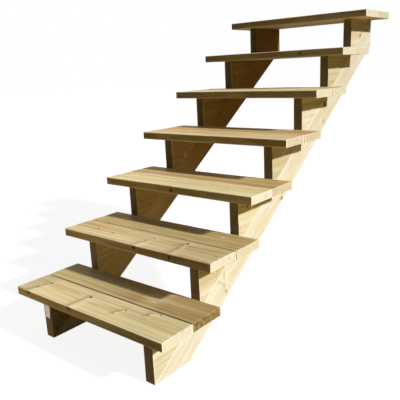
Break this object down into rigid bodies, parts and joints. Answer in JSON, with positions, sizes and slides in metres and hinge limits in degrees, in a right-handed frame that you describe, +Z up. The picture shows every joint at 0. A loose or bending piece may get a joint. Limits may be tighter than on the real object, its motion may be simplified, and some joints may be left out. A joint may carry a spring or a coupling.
{
  "type": "outdoor wooden stair",
  "caption": "Straight open-riser timber stair: board treads on saw-tooth strings, each a sloping plank carrying triangular step blocks, level at the foot and plumb at the wall.",
  "frame": {"origin": "middle of the top tread's back edge, in the plane of the wall that the stair leans on", "axes": "+X across the stair to the right of someone who climbs it, +Y up the flight into the wall, +Z up"},
  "size_m": [0.77, 1.783, 1.229],
  "materials": {
    "tread_front_timber": "planed pressure-treated pine, matt, pale straw with a green cast",
    "tread_back_timber": "planed pressure-treated pine, matt, tan",
    "block_timber": "planed pressure-treated pine, matt, level grain",
    "plank_timber": "planed pressure-treated pine, matt, grain along the pitch"
  },
  "bodies": {
    "root": {"left_plank": "plank_timber", "left_block_1": "block_timber", "left_block_2": "block_timber", "left_block_3": "block_timber", "left_block_4": "block_timber", "left_block_5": "block_timber", "left_block_6": "block_timber", "left_block_7": "block_timber", "right_plank": "plank_timber", "right_block_1": "block_timber", "right_block_2": "block_timber", "right_block_3": "block_timber", "right_block_4": "block_timber", "right_block_5": "block_timber", "right_block_6": "block_timber", "right_block_7": "block_timber", "tread_1_front": "tread_front_timber", "tread_1_back": "tread_back_timber", "tread_2_front": "tread_front_timber", "tread_2_back": "tread_back_timber", "tread_3_front": "tread_front_timber", "tread_3_back": "tread_back_timber", "tread_4_front": "tread_front_timber", "tread_4_back": "tread_back_timber", "tread_5_front": "tread_front_timber", "tread_5_back": "tread_back_timber", "tread_6_front": "tread_front_timber", "tread_6_back": "tread_back_timber", "tread_7_front": "tread_front_timber", "tread_7_back": "tread_back_timber"}
  },
  "joints": []
}
